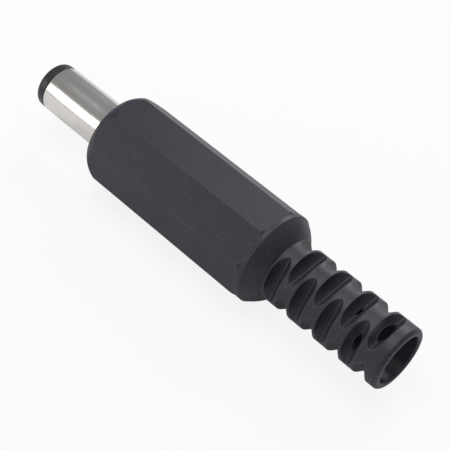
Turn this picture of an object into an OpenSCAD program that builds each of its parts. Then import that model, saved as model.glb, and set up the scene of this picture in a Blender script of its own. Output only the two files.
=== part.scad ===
// Solder-type DC barrel plug: a turned sleeve with an insulated centre contact and
// solder terminals, inside a screw-on moulded cover with a slotted strain relief.
// The plug's axis is X, with the tip towards +X. The origin is on the axis, in the
// plane of the cover's front face, and the plug lies on one flat of its grip.

/* [Barrel] */
// Outer diameter of the barrel
barrel_d = 5.5; // [5:0.1:6]
// Length of bare metal in front of the cover
barrel_len = 9.75; // [8:0.05:12]
// Bore of the sleeve
sleeve_bore_d = 4.3; // [4:0.1:4.5]
// Length of the insulating nose in front of the metal
nose_len = 1.2; // [1.15:0.05:1.5]
// Bore of the centre contact
contact_bore_d = 2.1; // [1.9:0.1:2.5]
// Outer diameter of the centre contact
contact_d = 2.9; // [2.8:0.1:3]

/* [Grip] */
// Width of the eight-sided grip across its flats
grip_af = 10.25; // [10.1:0.05:12]
// Length of the flats
grip_len = 23; // [22:0.1:23.4]
// Radius of the rounding at the front edge
front_round = 3.2; // [2.4:0.1:3.8]
// Length of that rounding along the flats' corners
front_depth = 2.15; // [1.4:0.05:2.3]
// Diameter of the round collar behind the flats
collar_d = 10.66; // [10.5:0.02:10.8]
// Length of the round collar
collar_len = 0.5; // [0.3:0.1:0.8]
// Wall of the cavity inside the grip, measured at a flat
grip_wall = 1.55; // [1.4:0.05:1.6]

/* [Strain relief] */
// Outer diameter of the strain relief
relief_d = 7.3; // [7.2:0.05:7.6]
// Diameter of the cable mouth
mouth_d = 5.7; // [5:0.1:5.8]
// Diameter of the cable's way at the grip
cable_d = 4.4; // [3.6:0.1:4.6]
// Distance from the front face to the cable mouth
relief_end = 40.4; // [40.2:0.1:42]
// Distance from the front face to the first slot
slot_first = 26.2; // [26.2:0.05:26.4]
// Distance between two slots that open the same way
slot_pitch = 3.44; // [3.3:0.02:3.46]
// Number of slot levels
slot_levels = 8; // [2:2:8]
// Width of a slot at the surface
slot_w = 1.66; // [1.2:0.02:1.7]
// Turn of the slots about the axis
slot_turn = -6; // [-30:1:30]

/* [Thread] */
// Outer diameter of the threaded boss
thread_d = 7.9; // [7.6:0.1:8]
// Diameter of the flange in the cover's mouth
flange_d = 8.6; // [8.4:0.1:8.8]
// Radial clearance between the cover and the boss
thread_gap = 0.05; // [0.02:0.01:0.1]

/* [Terminals] */
// Thickness of the terminal sheet
sheet_t = 0.4; // [0.3:0.05:0.4]
// Width of the sleeve terminal's strip
strip_w = 2.4; // [2:0.1:2.4]
// Width of the centre terminal's tab
tab_w = 2.2; // [1.8:0.1:2.4]
// Length of the cable clamp
clamp_len = 3.2; // [2.4:0.2:4]

/* [Hidden] */
$fn = 96;

eps = 0.01;            // overlap between solids that are joined
static_gap = 0.03;     // radial room between pieces that are pressed together

// grip and shoulder
flats = 8;
grip_corner_r = grip_af / 2 / cos(180 / flats);
rear_round = 0.9;                               // rounding of the flats' rear corners
rear_depth = 0.6;                               // length of that rounding
collar_end = grip_len + collar_len;
neck_start = 25.3;                              // where the shoulder meets the strain relief
dome_r = 5.06;                                  // radius of the shoulder's arc
dome_x = -21.1;                                 // centre of that arc, along the axis
dome_c = 0.82;                                  // centre of that arc, off the axis

// inside of the cover
cavity_d = grip_af - 2 * grip_wall;
cavity_end = 21.2;                              // where the cavity starts to narrow
throat = 23.6;                                  // where it has narrowed to the cable's way
way_flare = 31.5;                               // where the cable's way starts to widen
mouth_len = 1.3;                                // straight part of the cable mouth
mouth_round = 0.45;                             // rounding of the cable mouth's outer edge
mouth_break = 0.15;                             // broken inner edge of the cable mouth
thread_relief = 0.6;                            // depth of the cover's thread behind the boss

// slots: a blade with a pointed arch for its nose
slot_half = slot_w / 2;
nose_depth = 2.42;                              // distance of the arch's point from the axis
nose_full = relief_d / 2 + 0.05;                // distance at which the slot has its full width
arch_len = nose_full - nose_depth;
arch_r = (arch_len * arch_len + slot_half * slot_half) / (2 * slot_half);

// sleeve
flange_front = 0.3;                             // recess of the flange in the cover's mouth
flange_back = 1.4;
thread_start = 1.9;                             // end of the groove behind the flange
thread_end = 6.2;
thread_depth = 0.4;
boss_end = 6.9;
edge_round = 0.25;                              // rounding of the barrel's front edge
tip = barrel_len + nose_len;

// centre contact and its bushes
nose_d = barrel_d - 0.06;
nose_round = 0.55;
entry_d = 2.6;                                  // hole in the nose
contact_front = tip - 0.6;
bore_len = 9;
slit_w = 0.3;
slit_len = 6.5;
contact_back = -1.6;                            // where the contact narrows to its tail
tail_d = 1.6;
rivet_d = 2.4;
rivet_len = 0.35;
bush_back = -2;                                 // rear end of the nose bush

// stack behind the boss
stack_ring = boss_end + sheet_t;
stack_bush = stack_ring + 1;
stack_tab = stack_bush + sheet_t;
ring_r = 3.25;
bush_flange_r = 2.5;

// terminals
bend_r = 0.3;                                   // inner radius of the sheet's bends
strip_top = -2.85;
tab_top = 1.9;
tab_end = 14;
clamp_start = 14.9;
clamp_top = 1.3;
solder_hole_d = 1.2;
solder_hole_x = 10.6;                           // behind the front face
tab_hole_d = 1;
tab_ring_d = 3.2;

// stretch of round bar along X, from x = a to x = b
module bar(d, a, b) {
    translate([a, 0, 0]) rotate([0, 90, 0]) cylinder(d = d, h = b - a);
}

// turned form along X: children draw radius along x and distance towards the tip along y
module turned() {
    rotate([0, 90, 0]) rotate_extrude() children();
}

// rectangle of a turned form, from radius r0 to r1 and from x = a to x = b
module band(r0, r1, a, b) {
    translate([r0, a]) square([r1 - r0, b - a]);
}

// turned envelope of the grip: one large rounding in front, and a small one at the rear
module grip_envelope() {
    rim = grip_corner_r + 0.015;
    turned() intersection() {
        union() {
            translate([rim - front_round, -front_depth]) circle(front_round);
            band(0, rim - front_round, -grip_len, 0);
            band(0, rim, rear_depth - grip_len, -front_depth);
            band(0, rim - rear_round, -grip_len, -front_depth);
            translate([rim - rear_round, rear_depth - grip_len]) circle(rear_round);
        }
        band(0, rim + 1, -grip_len, 0);
    }
}

// collar, domed shoulder and the tube of the strain relief
module shoulder_and_relief() {
    relief_r = relief_d / 2;
    turned() {
        band(0, collar_d / 2, -collar_end, eps - grip_len);
        intersection() {
            translate([dome_c, dome_x]) circle(dome_r);
            band(0, collar_d / 2, -neck_start, eps - collar_end);
        }
        band(0, relief_r, mouth_round - relief_end, eps - neck_start);
        translate([relief_r - mouth_round, mouth_round - relief_end]) circle(mouth_round);
        band(0, relief_r - mouth_round, -relief_end, mouth_round - relief_end + eps);
    }
}

// everything hollow in the cover, from its mouth to the cable's way out
module cover_hollow() {
    mouth_r = mouth_d / 2;
    mouth_start = mouth_len - relief_end;
    turned() {
        band(0, flange_d / 2 + thread_gap, -flange_back, eps);
        band(0, thread_d / 2 + thread_gap, -boss_end - thread_relief, 0);
        band(0, cavity_d / 2, -cavity_end, 0);
        polygon([[0, -cavity_end + eps], [cavity_d / 2, -cavity_end + eps], [cavity_d / 2, -cavity_end],
            [cable_d / 2, -throat], [cable_d / 2, -way_flare], [mouth_r, mouth_start], [mouth_r, mouth_break - relief_end],
            [mouth_r + mouth_break + eps, -relief_end - eps], [0, -relief_end - eps]]);
    }
}

// one slot, opening towards +Z
module slot() {
    rotate([90, 0, 0]) linear_extrude(height = relief_d + 2, center = true) {
        intersection_for(side = [-1, 1])
            translate([side * (arch_r - slot_half), nose_full]) circle(arch_r);
        translate([-slot_half, nose_full]) square([slot_w, relief_d / 2]);
    }
}

module relief_slots() {
    // three slots round each level, turned by half their spacing from one level to the next
    for (level = [0 : slot_levels - 1], side = [0 : 120 : 240])
        translate([-slot_first - level * slot_pitch / 2, 0, 0])
            rotate([slot_turn + side + (level % 2 == 0 ? 60 : 0), 0, 0]) slot();
}

module cover() {
    color([0.13, 0.125, 0.15]) difference() {
        union() {
            intersection() {
                translate([-grip_len, 0, 0]) rotate([0, 90, 0]) rotate([0, 0, 180 / flats])
                    cylinder(r = grip_corner_r, h = grip_len, $fn = flats);
                grip_envelope();
            }
            shoulder_and_relief();
        }
        cover_hollow();
        relief_slots();
    }
}

// barrel, flange and threaded boss, turned from one bar
module sleeve() {
    barrel_r = barrel_d / 2;
    bore_r = sleeve_bore_d / 2;
    flange_r = flange_d / 2;
    thread_r = thread_d / 2;
    root_r = thread_r - thread_depth;
    edge = [for (a = [90 : -15 : 0])
        [barrel_r - edge_round * (1 - cos(a)), barrel_len - edge_round * (1 - sin(a))]];
    color([0.78, 0.76, 0.72]) turned() polygon(concat([[bore_r, barrel_len]], edge, [
        [barrel_r, -flange_front], [flange_r, -flange_front], [flange_r, -flange_back], [root_r, -flange_back],
        [root_r, -thread_start], [thread_r, -thread_start], [thread_r, -thread_end],
        [root_r, -thread_end - thread_depth], [root_r, -boss_end], [bore_r, -boss_end]]));
}

// moulded insulator: the nose, and the lining between the barrel and the centre contact
module tip_bush() {
    nose_r = nose_d / 2;
    contact_r = contact_d / 2;
    color([0.10, 0.095, 0.10]) turned() difference() {
        union() {
            band(0, nose_r, barrel_len, tip - nose_round);
            translate([nose_r - nose_round, tip - nose_round]) circle(nose_round);
            band(0, nose_r - nose_round, barrel_len, tip);
            band(0, sleeve_bore_d / 2 - static_gap, bush_back, barrel_len + eps);
        }
        band(-1, entry_d / 2, contact_front, tip + 1);
        band(-1, contact_r + 0.12, contact_front - slit_len, contact_front + 0.05);
        band(-1, contact_r + static_gap, bush_back - 1, contact_front - slit_len + eps);
        // lead-in for the jack's pin
        polygon([[0, tip - 0.35], [entry_d / 2, tip - 0.35], [entry_d / 2 + 0.36, tip + eps], [0, tip + eps]]);
    }
}

// turned contact: a tube with four spring fingers, and a tail that is riveted over
module centre_contact() {
    bore_end = contact_front - bore_len;
    color([0.80, 0.77, 0.70]) difference() {
        union() {
            bar(contact_d, contact_back, contact_front);
            bar(tail_d, -stack_tab - eps, contact_back + eps);
            bar(rivet_d, -stack_tab - rivet_len, -stack_tab);
        }
        bar(contact_bore_d, bore_end, contact_front + 1);
        for (turn = [0, 90]) rotate([turn, 0, 0])
            translate([contact_front - slit_len, -contact_d, -slit_w / 2]) cube([slit_len + 1, 2 * contact_d, slit_w]);
    }
}

// flanged bush that keeps the tail and the two terminals apart
module rear_bush() {
    color([0.30, 0.16, 0.10]) difference() {
        union() {
            bar(sleeve_bore_d - 2 * static_gap, -stack_ring - eps, bush_back - static_gap);
            bar(2 * bush_flange_r, -stack_bush, -stack_ring);
        }
        bar(tail_d + 2 * static_gap, -stack_bush - 1, bush_back + 1);
    }
}

// side view of a sheet bent once: upright at x = 0, then back along -X to length len,
// its upper face at height top when the upright part comes from below the bend
module bent_sheet(len, top, foot) {
    out_r = bend_r + sheet_t;
    difference() {
        union() {
            translate([-out_r, foot]) square([out_r, top - foot - out_r]);
            translate([-out_r, top - out_r]) circle(out_r);
            translate([-len, top - sheet_t]) square([len - out_r, sheet_t]);
        }
        translate([-out_r, top - out_r]) circle(bend_r);
        translate([-out_r - 2 * out_r, foot - 1]) square([2 * out_r + bend_r, top - out_r - foot + 1]);
        translate([-3 * out_r, top - 2 * out_r]) square([2 * out_r, 2 * out_r - sheet_t]);
    }
}

// sheet that lies across Y, drawn in its side view
module sheet(width) {
    rotate([90, 0, 0]) linear_extrude(height = width, center = true) children();
}

// stamped strip: a ring behind the boss, a solder hole, and the clamp for the cable
module sleeve_terminal() {
    strip_len = clamp_start + clamp_len - boss_end;
    strip_bottom = strip_top - sheet_t;
    clamp_r = -strip_bottom;
    color([0.77, 0.75, 0.71]) difference() {
        union() {
            intersection() {
                bar(2 * ring_r, -stack_ring, -boss_end);
                translate([-stack_ring, -ring_r, strip_bottom + bend_r + sheet_t])
                    cube([sheet_t, 2 * ring_r, 2 * ring_r]);
            }
            translate([-boss_end, 0, 0]) mirror([0, 0, 1])
                sheet(strip_w) bent_sheet(strip_len, clamp_r, sleeve_bore_d / 2);
            difference() {
                bar(2 * clamp_r, -clamp_start - clamp_len, -clamp_start);
                bar(-2 * strip_top, -clamp_start - clamp_len - 1, 1 - clamp_start);
                translate([-clamp_start - clamp_len - 1, -clamp_r - 1, clamp_top])
                    cube([clamp_len + 2, 2 * clamp_r + 2, 2 * clamp_r]);
            }
        }
        bar(sleeve_bore_d + 2 * static_gap, -stack_ring - 0.1, 1 - boss_end);
        translate([-solder_hole_x, 0, strip_bottom - 1]) cylinder(d = solder_hole_d, h = 2);
    }
}

// stamped tab: a ring under the rivet, bent back to a solder hole
module centre_terminal() {
    tab_r = tab_w / 2;
    tab_len = tab_end - stack_bush - tab_r;
    color([0.77, 0.75, 0.71]) difference() {
        union() {
            bar(tab_ring_d, -stack_tab, -stack_bush);
            translate([-stack_bush, 0, 0]) sheet(tab_w) bent_sheet(tab_len, tab_top, 0);
            translate([tab_r - tab_end, 0, tab_top - sheet_t]) cylinder(d = tab_w, h = sheet_t);
        }
        bar(tail_d + 2 * static_gap, -stack_tab - 1, 1 - stack_bush);
        translate([tab_r - tab_end, 0, tab_top - 1]) cylinder(d = tab_hole_d, h = 2);
    }
}

cover();
sleeve();
tip_bush();
centre_contact();
rear_bush();
sleeve_terminal();
centre_terminal();
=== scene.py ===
"""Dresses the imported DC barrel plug: finishes, turned details, studio light and camera."""

import logging
import math
from dataclasses import dataclass
from enum import Enum
from typing import Any, Callable, Iterable, Sequence, TypeAlias

import bpy
import bmesh
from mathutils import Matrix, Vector


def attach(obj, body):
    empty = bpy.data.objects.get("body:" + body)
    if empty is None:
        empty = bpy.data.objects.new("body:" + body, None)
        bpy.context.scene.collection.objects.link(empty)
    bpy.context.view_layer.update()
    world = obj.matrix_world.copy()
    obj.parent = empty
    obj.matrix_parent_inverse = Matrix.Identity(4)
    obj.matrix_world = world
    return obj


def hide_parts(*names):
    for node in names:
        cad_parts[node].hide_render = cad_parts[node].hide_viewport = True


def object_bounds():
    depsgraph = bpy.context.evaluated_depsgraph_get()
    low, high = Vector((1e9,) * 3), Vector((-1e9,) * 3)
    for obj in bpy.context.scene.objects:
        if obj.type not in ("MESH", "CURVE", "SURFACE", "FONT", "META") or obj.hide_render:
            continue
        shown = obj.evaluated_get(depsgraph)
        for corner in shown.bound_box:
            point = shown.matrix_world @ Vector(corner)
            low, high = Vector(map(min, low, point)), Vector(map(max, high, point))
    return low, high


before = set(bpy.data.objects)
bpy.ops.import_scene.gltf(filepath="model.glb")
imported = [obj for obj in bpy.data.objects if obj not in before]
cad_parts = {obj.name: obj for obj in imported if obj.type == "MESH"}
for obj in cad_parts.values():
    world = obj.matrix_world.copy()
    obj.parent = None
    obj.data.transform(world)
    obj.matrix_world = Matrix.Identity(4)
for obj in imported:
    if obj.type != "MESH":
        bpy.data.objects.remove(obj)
CAD_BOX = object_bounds()

LOG = logging.getLogger("plug")
MM = 0.001

# how far the rounded shading turns from the true surface where the painted edge highlight starts to show,
# and where it is full
EDGE_FAINT = 0.004
EDGE_FULL = 0.06

# vertices closer than this are one, in metres
DOUBLE = 1e-7

Colour = tuple[float, float, float]
Place = tuple[float, float, float]
Station = tuple[float, float]
Number: TypeAlias = "float | Socket"


class Body(Enum):
    """The rigid bodies of the plug."""

    CORE = "core"
    COVER = "cover"


class Wear(Enum):
    """How a plated part was finished, as the direction of its fine marks."""

    TURNED = "turned"
    ROLLED = "rolled"


# ---------------------------------------------------------------- shader maths


class Socket:
    """A shader socket that does arithmetic by adding Math nodes."""

    def __init__(self, shader: "Shader", output: bpy.types.NodeSocket) -> None:
        """Wraps one output.

        Args:
            shader: The shader that the output belongs to.
            output: The node output.
        """
        self.shader = shader
        self.output = output

    def maths(self, operation: str, first: Number, second: Number) -> "Socket":
        """Adds one Math node.

        Args:
            operation: The Math node's operation.
            first: The first operand.
            second: The second operand.

        Returns:
            The node's result.
        """
        return self.shader.node("ShaderNodeMath", {"operation": operation}, {0: first, 1: second})

    def __add__(self, other: Number) -> "Socket":
        """Returns self + other."""
        return self.maths("ADD", self, other)

    __radd__ = __add__

    def __sub__(self, other: Number) -> "Socket":
        """Returns self - other."""
        return self.maths("SUBTRACT", self, other)

    def __rsub__(self, other: float) -> "Socket":
        """Returns other - self."""
        return self.maths("SUBTRACT", other, self)

    def __mul__(self, other: Number) -> "Socket":
        """Returns self * other."""
        return self.maths("MULTIPLY", self, other)

    __rmul__ = __mul__

    def step(self, low: float, high: float) -> "Socket":
        """Maps a range smoothly onto 0 to 1.

        Args:
            low: The value that gives 0.
            high: The value that gives 1.

        Returns:
            The mapped value.
        """
        return self.shader.node(
            "ShaderNodeMapRange", {"interpolation_type": "SMOOTHSTEP"},
            {"Value": self, "From Min": low, "From Max": high},
        )


class Shader:
    """One material and the nodes that are added to it."""

    def __init__(self, name: str) -> None:
        """Makes an empty material with one Principled BSDF.

        Args:
            name: The material's name.
        """
        self.material = bpy.data.materials.new(name)
        self.material.use_nodes = True
        self.tree = self.material.node_tree
        self.surface = self.tree.nodes["Principled BSDF"]

    def node(self, kind: str, settings: dict[str, Any] | None = None,
             inputs: dict[int | str, Any] | None = None, output: int | str = 0) -> Socket:
        """Adds any node.

        Args:
            kind: The node's type.
            settings: Its properties.
            inputs: Values or sockets for its inputs, by index or name.
            output: The output to return.

        Returns:
            The chosen output.
        """
        added = self.tree.nodes.new(kind)
        for key, value in (settings or {}).items():
            setattr(added, key, value)
        for key, value in (inputs or {}).items():
            if isinstance(value, Socket):
                self.tree.links.new(value.output, added.inputs[key])
            else:
                added.inputs[key].default_value = value
        return Socket(self, added.outputs[output])

    def place(self) -> Socket:
        """Returns the Object coordinates, in metres."""
        return self.node("ShaderNodeTexCoord", output="Object")

    def scaled(self, scale: Place) -> Socket:
        """Returns the Object coordinates, scaled along each axis."""
        return self.node("ShaderNodeMapping", {}, {"Vector": self.place(), "Scale": scale})

    def noise(self, place: Socket, scale: float, detail: float = 3.0, roughness: float = 0.55) -> Socket:
        """Adds a noise pattern.

        Args:
            place: The coordinates it is read at.
            scale: Its scale, per unit of those coordinates.
            detail: Its octaves.
            roughness: How strong the finer octaves are.

        Returns:
            The pattern's value.
        """
        inputs = {"Vector": place, "Scale": scale, "Detail": detail, "Roughness": roughness}
        return self.node("ShaderNodeTexNoise", {}, inputs)

    def mix(self, factor: Number, first: Any, second: Any) -> Socket:
        """Mixes two colours.

        Args:
            factor: 0 for the first colour, 1 for the second.
            first: A colour or socket.
            second: A colour or socket.

        Returns:
            The mixed colour.
        """
        ends = [end if isinstance(end, Socket) else (*end, 1.0) for end in (first, second)]
        inputs = {0: factor, 6: ends[0], 7: ends[1]}
        return self.node("ShaderNodeMix", {"data_type": "RGBA"}, inputs, output=2)

    def soft_edge(self, radius_mm: float) -> tuple[Socket, Socket]:
        """Rounds the shading over sharp edges.

        Args:
            radius_mm: The edge's radius.

        Returns:
            The rounded normal, and a mask that is 1 on the edges, where the finishes paint a highlight.
        """
        rounded = self.node("ShaderNodeBevel", {"samples": 6}, {"Radius": radius_mm * MM})
        flat = self.node("ShaderNodeNewGeometry", output="Normal")
        match = self.node(
            "ShaderNodeVectorMath", {"operation": "DOT_PRODUCT"}, {0: rounded, 1: flat}, output="Value"
        )
        return rounded, (1.0 - match).step(EDGE_FAINT, EDGE_FULL)

    def bump(
        self, height: Socket, depth_mm: float, strength: float, normal: Socket | None = None,
    ) -> Socket:
        """Adds a bump.

        Args:
            height: The height, from 0 to 1.
            depth_mm: The depth that a height of 1 stands for.
            strength: How strongly it shows.
            normal: The normal it starts from.

        Returns:
            The bumped normal.
        """
        inputs: dict[int | str, Any] = {"Height": height, "Distance": depth_mm * MM, "Strength": strength}
        if normal is not None:
            inputs["Normal"] = normal
        return self.node("ShaderNodeBump", {}, inputs)

    def finish(self, **values: Any) -> bpy.types.Material:
        """Sets the surface's inputs, by name with spaces as underscores.

        Args:
            values: Constants or sockets.

        Returns:
            The finished material.
        """
        for key, value in values.items():
            target = self.surface.inputs[key.replace("_", " ")]
            if isinstance(value, Socket):
                self.tree.links.new(value.output, target)
            elif isinstance(value, tuple):
                target.default_value = (*value, 1.0)
            else:
                target.default_value = value
        return self.material


# -------------------------------------------------------------------- finishes


@dataclass(frozen=True)
class MouldedPlastic:
    """Black plastic from a spark-eroded mould: satin and finely grained, with a painted highlight along its
    edges.
    """

    name: str
    colour: Colour
    # the flecks' colour, which is also painted along the edges as a highlight
    fleck_and_highlight_colour: Colour
    roughness: float = 0.5
    grain_per_mm: float = 7.0
    grain_depth_mm: float = 0.02
    edge_mm: float = 0.16

    def material(self) -> bpy.types.Material:
        """Returns the finish as a material."""
        shader = Shader(self.name)
        place = shader.place()
        cloud = shader.noise(place, 0.22 / MM, 4.0)
        grain = shader.noise(place, self.grain_per_mm / MM, 4.0, 0.65)
        flecks = shader.noise(place, 3.1 / MM, 2.0).step(0.58, 0.74)
        normal, edges = shader.soft_edge(self.edge_mm)
        darker = tuple(0.78 * part for part in self.colour)
        base = shader.mix(cloud.step(0.3, 0.72), darker, self.colour)
        base = shader.mix(flecks * 0.3, base, self.fleck_and_highlight_colour)
        # painted highlight: along the rounded edges the colour is lifted towards the paler fleck colour
        base = shader.mix(edges * (0.35 + 0.65 * cloud), base, self.fleck_and_highlight_colour)
        return shader.finish(
            Base_Color=base,
            Roughness=self.roughness + 0.16 * (grain - 0.5) + 0.1 * (cloud - 0.5),
            Normal=shader.bump(grain * 0.8 + cloud * 0.2, self.grain_depth_mm, 0.55, normal),
            Specular_IOR_Level=0.45,
        )


@dataclass(frozen=True)
class Plating:
    """Bright plating with the fine marks of the tool that shaped the metal under it."""

    name: str
    colour: Colour
    stain: Colour
    wear: Wear
    roughness: float = 0.2
    edge_mm: float = 0.06

    def material(self) -> bpy.types.Material:
        """Returns the finish as a material."""
        shader = Shader(self.name)
        along = {Wear.TURNED: (26.0, 0.5, 0.5), Wear.ROLLED: (0.6, 14.0, 14.0)}[self.wear]
        marks = shader.noise(shader.scaled(along), 1.0 / MM, 4.0, 0.6)
        broad = shader.noise(shader.place(), 0.3 / MM, 3.0)
        spots = shader.noise(shader.place(), 1.6 / MM, 3.0).step(0.66, 0.8)
        normal, edges = shader.soft_edge(self.edge_mm)
        tinted = shader.mix(broad.step(0.25, 0.8) * 0.45 + spots * 0.2, self.colour, self.stain)
        return shader.finish(
            # painted highlight: along the rounded edges the colour is lifted towards pale nickel
            Base_Color=shader.mix(edges * 0.5, tinted, (0.92, 0.9, 0.86)),
            Metallic=1.0,
            Roughness=self.roughness + 0.12 * (marks - 0.5) + 0.08 * (broad - 0.5) + 0.06 * spots,
            Normal=shader.bump(marks, 0.004, 0.3, normal),
        )


@dataclass(frozen=True)
class PressedBoard:
    """Brown phenolic board, matt, with its paper layers across the axis."""

    name: str
    light: Colour
    dark: Colour

    def material(self) -> bpy.types.Material:
        """Returns the finish as a material."""
        shader = Shader(self.name)
        layers = shader.noise(shader.scaled((9.0, 0.7, 0.7)), 1.0 / MM, 4.0)
        speck = shader.noise(shader.place(), 5.0 / MM, 3.0)
        normal, edges = shader.soft_edge(0.08)
        base = shader.mix(layers.step(0.3, 0.7), self.dark, self.light)
        # painted highlight: along the rounded edges the colour is lifted towards the lighter brown
        base = shader.mix(edges * 0.4, base, self.light)
        return shader.finish(
            Base_Color=shader.mix(speck.step(0.6, 0.75) * 0.4, base, self.dark),
            Roughness=0.62 + 0.2 * (speck - 0.5),
            Normal=shader.bump(layers, 0.02, 0.4, normal),
        )


# ------------------------------------------------------------------- modelling


class Workbench:
    """Edit-mode steps that several sub-assemblies share."""

    @staticmethod
    def clear() -> None:
        """Deselects everything and leaves edit mode."""
        if bpy.context.object and bpy.context.object.mode != "OBJECT":
            bpy.ops.object.mode_set(mode="OBJECT")
        bpy.ops.object.select_all(action="DESELECT")

    @staticmethod
    def choose(piece: bpy.types.Object, mode: str, test: Callable[[Any], bool]) -> None:
        """Selects vertices, edges or faces of the piece in edit mode.

        Args:
            piece: The piece being edited.
            mode: VERT, EDGE or FACE.
            test: Says whether an element is selected.
        """
        bpy.ops.mesh.select_all(action="DESELECT")
        bpy.ops.mesh.select_mode(type=mode)
        shape = bmesh.from_edit_mesh(piece.data)
        parts = {"VERT": shape.verts, "EDGE": shape.edges, "FACE": shape.faces}[mode]
        for part in parts:
            part.select_set(test(part))
        shape.select_flush_mode()
        bmesh.update_edit_mesh(piece.data)

    @classmethod
    def turned(cls, name: str, stations: Sequence[Station], sides: int) -> bpy.types.Object:
        """Turns a closed ring-shaped piece along X, one extruded ring after another.

        Args:
            name: The piece's name.
            stations: Pairs of place along X and radius, round the section, in mm.
            sides: The number of sides.

        Returns:
            The piece, with its place in its mesh.
        """
        cls.clear()
        first_x, first_r = stations[0]
        bpy.ops.mesh.primitive_circle_add(
            vertices=sides, radius=first_r * MM, fill_type="NOTHING",
            location=(first_x * MM, 0, 0), rotation=(0, math.pi / 2, 0),
        )
        piece = bpy.context.object
        piece.name = piece.data.name = name
        bpy.ops.object.transform_apply(location=True, rotation=True, scale=True)
        bpy.ops.object.mode_set(mode="EDIT")
        bpy.ops.mesh.select_all(action="SELECT")
        here_x, here_r = first_x, first_r
        for x, r in stations[1:]:
            bpy.ops.mesh.extrude_region_move(TRANSFORM_OT_translate={"value": ((x - here_x) * MM, 0, 0)})
            growth = r / here_r
            if growth != 1.0:
                bpy.ops.transform.resize(value=(1, growth, growth), center_override=(x * MM, 0, 0))
            here_x, here_r = x, r
        cls.choose(piece, "EDGE", lambda edge: edge.is_boundary)
        bpy.ops.mesh.bridge_edge_loops()
        cls.close(piece, 32)
        return piece

    @staticmethod
    def close(piece: bpy.types.Object, angle: float) -> None:
        """Merges doubles, turns the faces outwards, leaves edit mode and smooths the shading.

        Args:
            piece: The piece, in edit mode.
            angle: The angle under which edges are shaded smooth, in degrees.
        """
        bpy.ops.mesh.select_all(action="SELECT")
        bpy.ops.mesh.remove_doubles(threshold=DOUBLE)
        bpy.ops.mesh.normals_make_consistent(inside=False)
        bpy.ops.object.mode_set(mode="OBJECT")
        bpy.ops.object.shade_smooth_by_angle(angle=math.radians(angle))

    @classmethod
    def joined(cls, main: bpy.types.Object, others: Iterable[bpy.types.Object]) -> bpy.types.Object:
        """Joins pieces into the first.

        Args:
            main: The piece that stays.
            others: The pieces that go into it.

        Returns:
            The joined piece.
        """
        cls.clear()
        for other in others:
            other.select_set(True)
        main.select_set(True)
        bpy.context.view_layer.objects.active = main
        bpy.ops.object.join()
        return main


def arc(x: float, r: float, radius: float, start: float, end: float, steps: int) -> list[Station]:
    """Lists stations along a rounded edge.

    Args:
        x: The arc's centre along X, in mm.
        r: The arc's centre off the axis, in mm.
        radius: The arc's radius, in mm.
        start: Its first angle from +X towards the outside, in degrees.
        end: Its last angle.
        steps: The number of steps.

    Returns:
        The stations.
    """
    angles = [math.radians(start + (end - start) * step / steps) for step in range(steps + 1)]
    return [(x + radius * math.cos(angle), r + radius * math.sin(angle)) for angle in angles]


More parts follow.
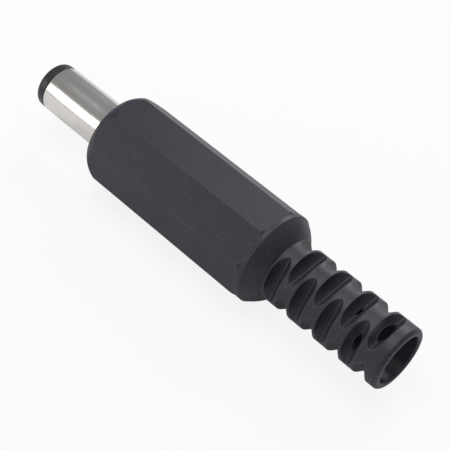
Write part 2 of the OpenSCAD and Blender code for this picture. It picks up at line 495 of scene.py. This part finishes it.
@dataclass
class Barrel:
    """The turned sleeve: barrel, flange and threaded boss, in mm from the cover's front face."""

    bore_r: float = 2.15
    barrel_r: float = 2.75
    barrel_len: float = 9.75
    edge: float = 0.25              # rounding of the barrel's front edge
    flange_r: float = 4.3
    flange_front: float = -0.3
    flange_back: float = -1.4
    fillet: float = 0.2             # where the barrel meets the flange
    root_r: float = 3.56
    crest_r: float = 3.95
    thread_front: float = -1.95
    thread_back: float = -6.4
    boss_back: float = -6.9
    pitch: float = 0.7
    crest_half: float = 0.06        # half the width of the ridge's crest
    foot_half: float = 0.33         # half the width of the ridge's foot
    sink: float = 0.05              # how far the ridge's foot stands in the boss
    soft: float = 0.06              # rounding of the other edges
    steps_per_turn: int = 64

    def stations(self) -> list[Station]:
        """Returns the section of the turned blank, round from the back of its bore."""
        soft = self.soft
        rim = 2 * soft
        return [
            (self.boss_back, self.bore_r + soft), (self.boss_back, self.root_r - soft),
            *arc(self.boss_back + soft, self.root_r - soft, soft, 180, 90, 3),
            (self.flange_back, self.root_r), (self.flange_back, self.flange_r - rim),
            *arc(self.flange_back + rim, self.flange_r - rim, rim, 180, 90, 4),
            *arc(self.flange_front - rim, self.flange_r - rim, rim, 90, 0, 4),
            (self.flange_front, self.barrel_r + self.fillet),
            *arc(self.flange_front + self.fillet, self.barrel_r + self.fillet, self.fillet, 180, 270, 4),
            (0.3 * self.barrel_len, self.barrel_r), (0.7 * self.barrel_len, self.barrel_r),
            *arc(self.barrel_len - self.edge, self.barrel_r - self.edge, self.edge, 90, 0, 6),
            (self.barrel_len, self.bore_r + soft), (self.barrel_len - soft, self.bore_r),
            (self.boss_back + soft, self.bore_r),
        ]

    def thread(self) -> bpy.types.Object:
        """Cuts the screw thread's ridge as one helix round the boss.

        Returns:
            The ridge.
        """
        Workbench.clear()
        turns = (self.thread_front - self.thread_back - self.pitch) / self.pitch
        middle_x = self.thread_back + 0.4 * self.pitch
        middle_r = (self.root_r + self.crest_r) / 2
        bpy.ops.mesh.primitive_circle_add(
            vertices=4, radius=self.foot_half * MM, fill_type="NOTHING",
            location=(middle_x * MM, 0, middle_r * MM), rotation=(math.pi / 2, math.pi / 4, 0),
        )
        ridge = bpy.context.object
        ridge.name = ridge.data.name = "thread"
        bpy.ops.object.transform_apply(location=True, rotation=True, scale=True)
        bpy.ops.object.mode_set(mode="EDIT")
        section = bmesh.from_edit_mesh(ridge.data)
        for corner in section.verts:
            at_crest = corner.co.z > middle_r * MM
            half = self.crest_half if at_crest else self.foot_half
            half = math.copysign(half, corner.co.x - middle_x * MM)
            height = self.crest_r if at_crest else self.root_r - self.sink
            corner.co = ((middle_x + half) * MM, 0, height * MM)
        bmesh.update_edit_mesh(ridge.data)
        bpy.ops.object.mode_set(mode="OBJECT")
        screw = ridge.modifiers.new("screw", "SCREW")
        screw.axis = "X"
        screw.angle = 2 * math.pi * turns
        screw.screw_offset = self.pitch * turns * MM
        screw.steps = screw.render_steps = int(self.steps_per_turn * turns)
        screw.use_merge_vertices = False
        bpy.ops.object.modifier_apply(modifier="screw")
        bpy.ops.object.mode_set(mode="EDIT")
        Workbench.choose(ridge, "EDGE", lambda edge: edge.is_boundary)
        bpy.ops.mesh.edge_face_add()
        Workbench.close(ridge, 40)
        return ridge

    def build(self, finish: bpy.types.Material) -> bpy.types.Object:
        """Builds the sleeve in place of its plain solid.

        Args:
            finish: The plating.

        Returns:
            The sleeve.
        """
        sleeve = Workbench.turned("sleeve_turned", self.stations(), 128)
        Workbench.joined(sleeve, [self.thread()])
        dress(sleeve, finish)
        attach(sleeve, Body.CORE.value)
        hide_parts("sleeve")
        return sleeve


def dress(piece: bpy.types.Object, finish: bpy.types.Material) -> None:
    """Gives a whole piece one finish.

    Args:
        piece: The piece or CAD node.
        finish: The material.
    """
    if not piece.material_slots:
        piece.data.materials.append(finish)
    for place in piece.material_slots:
        place.material = finish


# ------------------------------------------------------------------- the studio


@dataclass
class Studio:
    """Pale floor, soft lamps and the camera."""

    eye: Place = (-0.073238, 0.073570, 0.097745)
    turn: Place = (42.9511, -6.5640, -135.3837)
    lens: float = 103.2
    aim: Place = (-0.013, 0.0, 0.0)
    floor_size: float = 3.0
    floor_glow: float = 0.86        # the share of the floor that the camera sees as plain white
    sky: float = 0.32

    def camera(self) -> None:
        """Places the camera."""
        data = bpy.data.cameras.new("camera")
        data.sensor_width = 36.0
        data.lens = self.lens
        data.clip_start = 0.002
        camera = bpy.data.objects.new("camera", data)
        camera.location = self.eye
        camera.rotation_euler = [math.radians(angle) for angle in self.turn]
        bpy.context.scene.collection.objects.link(camera)
        bpy.context.scene.camera = camera

    def lamp(
        self, name: str, place: Place, size: float, power: float, colour: Colour = (1.0, 1.0, 1.0),
    ) -> None:
        """Adds a square soft lamp that points at the plug.

        Args:
            name: The lamp's name.
            place: Its place, in metres.
            size: Its side, in metres.
            power: Its power, in watts.
            colour: Its colour.
        """
        data = bpy.data.lights.new(name, "AREA")
        data.energy = power
        data.size = size
        data.color = colour
        lamp = bpy.data.objects.new(name, data)
        lamp.location = place
        towards = Vector(self.aim) - Vector(place)
        lamp.rotation_euler = towards.to_track_quat("-Z", "Y").to_euler()
        bpy.context.scene.collection.objects.link(lamp)

    def backdrop(self) -> None:
        """Makes a world that lights softly and shows white."""
        world = bpy.data.worlds.new("studio")
        world.use_nodes = True
        tree = world.node_tree
        light = tree.nodes["Background"]
        light.inputs["Color"].default_value = (0.93, 0.95, 1.0, 1.0)
        light.inputs["Strength"].default_value = self.sky
        white = tree.nodes.new("ShaderNodeBackground")
        white.inputs["Color"].default_value = (1.0, 1.0, 1.0, 1.0)
        white.inputs["Strength"].default_value = 1.0
        seen = tree.nodes.new("ShaderNodeLightPath")
        mixed = tree.nodes.new("ShaderNodeMixShader")
        tree.links.new(seen.outputs["Is Camera Ray"], mixed.inputs[0])
        tree.links.new(light.outputs[0], mixed.inputs[1])
        tree.links.new(white.outputs[0], mixed.inputs[2])
        tree.links.new(mixed.outputs[0], tree.nodes["World Output"].inputs["Surface"])
        bpy.context.scene.world = world

    def floor(self) -> None:
        """Lays a plain white floor under the plug."""
        Workbench.clear()
        bpy.ops.mesh.primitive_plane_add(size=self.floor_size, location=(0, 0, CAD_BOX[0][2]))
        floor = bpy.context.object
        floor.name = "floor"
        bpy.ops.object.transform_apply(location=True, rotation=True, scale=True)
        shader = Shader("floor_white")
        shader.finish(Base_Color=(0.86, 0.86, 0.87), Roughness=0.9)
        glow = shader.node("ShaderNodeEmission", {}, {"Color": (1.0, 1.0, 1.0, 1.0), "Strength": 1.0})
        seen = shader.node("ShaderNodeLightPath", output="Is Camera Ray")
        lit = Socket(shader, shader.surface.outputs[0])
        mixed = shader.node("ShaderNodeMixShader", {}, {0: seen * self.floor_glow, 1: lit, 2: glow})
        shader.tree.links.new(mixed.output, shader.tree.nodes["Material Output"].inputs["Surface"])
        dress(floor, shader.material)

    def build(self) -> None:
        """Sets the whole studio up."""
        self.camera()
        self.floor()
        self.backdrop()
        self.lamp("key", (0.02, 0.02, 0.32), 0.2, 0.5)
        self.lamp("side", (0.16, 0.24, 0.10), 0.16, 0.2, (1.0, 0.97, 0.94))
        self.lamp("back", (0.06, -0.26, 0.16), 0.14, 0.36)
        bpy.context.scene.view_settings.view_transform = "Standard"


# -------------------------------------------------------------------- assembly


class Plug:
    """The whole plug: which node takes which finish, and what is remodelled."""

    # the third colour of each plastic is its flecks' colour and its painted edge highlight
    plastic = MouldedPlastic("cover_black", (0.022, 0.021, 0.032), (0.085, 0.082, 0.1), 0.46)
    tip_plastic = MouldedPlastic(
        "tip_black", (0.022, 0.02, 0.023), (0.07, 0.068, 0.072), 0.36, 9.0, 0.008, 0.1,
    )
    nickel = Plating("nickel_turned", (0.76, 0.74, 0.7), (0.58, 0.54, 0.49), Wear.TURNED, 0.2)
    spring = Plating("nickel_spring", (0.77, 0.74, 0.66), (0.6, 0.54, 0.42), Wear.TURNED, 0.26)
    tin = Plating("tin_stamped", (0.74, 0.72, 0.68), (0.6, 0.57, 0.53), Wear.ROLLED, 0.3)
    board = PressedBoard("board_brown", (0.25, 0.105, 0.045), (0.12, 0.045, 0.02))

    def build(self) -> None:
        """Dresses the nodes that keep their solids and remodels the others."""
        finishes = {
            "cover": self.plastic, "tip_bush": self.tip_plastic, "centre_contact": self.spring,
            "rear_bush": self.board, "sleeve_terminal": self.tin, "centre_terminal": self.tin,
        }
        made: dict[str, bpy.types.Material] = {}
        for node, finish in finishes.items():
            if finish.name not in made:
                made[finish.name] = finish.material()
            dress(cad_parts[node], made[finish.name])
            LOG.info("dressed %s with %s", node, finish.name)
        sleeve = Barrel().build(self.nickel.material())
        LOG.info("built %s with %d faces", sleeve.name, len(sleeve.data.polygons))


def main() -> None:
    """Builds the plug and the studio."""
    logging.basicConfig(level=logging.INFO, format="%(name)s: %(message)s")
    Plug().build()
    Studio().build()
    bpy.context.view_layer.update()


if __name__ == "__main__":
    main()
